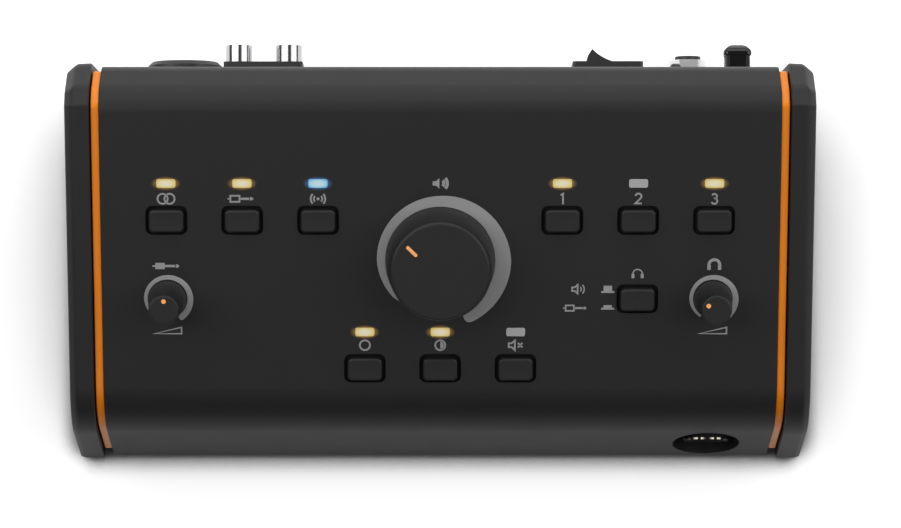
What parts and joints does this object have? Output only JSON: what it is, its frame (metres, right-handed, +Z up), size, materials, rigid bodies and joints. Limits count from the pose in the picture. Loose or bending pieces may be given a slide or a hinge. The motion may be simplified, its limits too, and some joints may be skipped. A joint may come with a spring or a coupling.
{
  "type": "studio monitor controller",
  "caption": "Desktop monitor controller with a sloping panel, one large and two small knobs, push keys with light windows, a front headphone socket and rear sockets.",
  "frame": {"origin": "on the desk, under the middle of the overall width and depth", "axes": "+X to the right, +Y to the rear panel, +Z up"},
  "size_m": [0.227, 0.1288, 0.0716],
  "materials": {
    "case_black": "fine textured satin powder coat",
    "cheek_black": "fine satin moulded plastic",
    "accent_orange": "glossy",
    "knob_black": "soft satin",
    "key_black": "satin",
    "pointer_orange": "satin",
    "light_amber": "translucent diffusing",
    "light_blue": "translucent diffusing",
    "light_clear": "translucent diffusing",
    "shaft_metal": "turned",
    "bright_plating": "bright nickel plate",
    "contact_brass": "plated",
    "screw_steel": "black zinc",
    "foot_rubber": "matte",
    "board_laminate": "solder mask",
    "socket_black": "satin moulded",
    "clamp_black": "glossy",
    "insulator_plastic": "satin",
    "pot_case": "stamped",
    "chip_body": "moulded",
    "capacitor_can": "sleeved",
    "ribbon_grey": "ribbed"
  },
  "bodies": {
    "case": {"top_cover": "case_black", "base_plate": "case_black", "rear_panel": "case_black", "left_cheek": "cheek_black", "right_cheek": "cheek_black", "left_accent_plate": "accent_orange", "right_accent_plate": "accent_orange", "amber_light_windows": "light_amber", "blue_light_window": "light_blue", "clear_light_windows": "light_clear", "phono_shells": "bright_plating", "dc_inlet_nut": "bright_plating", "headphone_nut": "bright_plating", "main_pot_nut": "bright_plating", "phono_contacts": "contact_brass", "cheek_screws": "screw_steel", "case_screws": "screw_steel", "board_screws": "screw_steel", "board_spacers": "screw_steel", "feet": "foot_rubber", "control_board": "board_laminate", "lower_board": "board_laminate", "headphone_cup": "socket_black", "headphone_jack": "socket_black", "combo_jack": "socket_black", "line_jacks": "socket_black", "phono_base": "socket_black", "switch_housing": "socket_black", "dc_inlet": "socket_black", "ribbon_headers": "socket_black", "key_switches": "socket_black", "cable_clamp": "clamp_black", "phono_insulators": "insulator_plastic", "main_pot": "pot_case", "small_pots": "pot_case", "light_chips": "chip_body", "board_parts": "chip_body", "capacitors": "capacitor_can", "ribbon_cable": "ribbon_grey"},
    "main_knob": {"main_knob": "knob_black", "main_knob_line": "pointer_orange", "main_pot_shaft": "shaft_metal"},
    "aux_knob": {"aux_knob": "knob_black", "aux_knob_dot": "pointer_orange", "aux_pot_shaft": "shaft_metal"},
    "phones_knob": {"phones_knob": "knob_black", "phones_knob_dot": "pointer_orange", "phones_pot_shaft": "shaft_metal"},
    "switch_rocker": {"switch_rocker": "socket_black"},
    "stereo_key": {"stereo_key": "key_black"},
    "aux_key": {"aux_key": "key_black"},
    "pair_key": {"pair_key": "key_black"},
    "output_1_key": {"output_1_key": "key_black"},
    "output_2_key": {"output_2_key": "key_black"},
    "output_3_key": {"output_3_key": "key_black"},
    "mono_key": {"mono_key": "key_black"},
    "dim_key": {"dim_key": "key_black"},
    "mute_key": {"mute_key": "key_black"},
    "listen_key": {"listen_key": "key_black"}
  },
  "joints": [
    {"name": "main_knob_turn", "type": "hinge", "parent": "case", "child": "main_knob", "pos_m": [0, -0.00438, 0.05177], "axis": [0, -0.2504, 0.9681], "range_deg": [-203.5, 96.5]},
    {"name": "aux_knob_turn", "type": "hinge", "parent": "case", "child": "aux_knob", "pos_m": [-0.083, -0.01585, 0.04881], "axis": [0, -0.2504, 0.9681], "range_deg": [-150, 150]},
    {"name": "phones_knob_turn", "type": "hinge", "parent": "case", "child": "phones_knob", "pos_m": [0.083, -0.01585, 0.04881], "axis": [0, -0.2504, 0.9681], "range_deg": [-210, 90]},
    {"name": "stereo_key_press", "type": "slide", "parent": "case", "child": "stereo_key", "axis": [0, 0.2504, -0.9681], "range_m": [0, 0.001], "stiffness_N_per_m": 800, "springref_m": -0.0005},
    {"name": "aux_key_press", "type": "slide", "parent": "case", "child": "aux_key", "axis": [0, 0.2504, -0.9681], "range_m": [0, 0.001], "stiffness_N_per_m": 800, "springref_m": -0.0005},
    {"name": "pair_key_press", "type": "slide", "parent": "case", "child": "pair_key", "axis": [0, 0.2504, -0.9681], "range_m": [0, 0.001], "stiffness_N_per_m": 800, "springref_m": -0.0005},
    {"name": "output_1_key_press", "type": "slide", "parent": "case", "child": "output_1_key", "axis": [0, 0.2504, -0.9681], "range_m": [0, 0.001], "stiffness_N_per_m": 800, "springref_m": -0.0005},
    {"name": "output_2_key_press", "type": "slide", "parent": "case", "child": "output_2_key", "axis": [0, 0.2504, -0.9681], "range_m": [0, 0.001], "stiffness_N_per_m": 800, "springref_m": -0.0005},
    {"name": "output_3_key_press", "type": "slide", "parent": "case", "child": "output_3_key", "axis": [0, 0.2504, -0.9681], "range_m": [0, 0.001], "stiffness_N_per_m": 800, "springref_m": -0.0005},
    {"name": "mono_key_press", "type": "slide", "parent": "case", "child": "mono_key", "axis": [0, 0.2504, -0.9681], "range_m": [0, 0.001], "stiffness_N_per_m": 800, "springref_m": -0.0005},
    {"name": "dim_key_press", "type": "slide", "parent": "case", "child": "dim_key", "axis": [0, 0.2504, -0.9681], "range_m": [0, 0.001], "stiffness_N_per_m": 800, "springref_m": -0.0005},
    {"name": "mute_key_press", "type": "slide", "parent": "case", "child": "mute_key", "axis": [0, 0.2504, -0.9681], "range_m": [0, 0.001], "stiffness_N_per_m": 800, "springref_m": -0.0005},
    {"name": "listen_key_press", "type": "slide", "parent": "case", "child": "listen_key", "axis": [0, 0.2504, -0.9681], "range_m": [0, 0.0014], "stiffness_N_per_m": 800, "springref_m": -0.0005},
    {"name": "power_rocker_tilt", "type": "hinge", "parent": "case", "child": "switch_rocker", "pos_m": [0.052, 0.05369, 0.025], "axis": [0, 0, 1], "range_deg": [0, 33.4]}
  ]
}
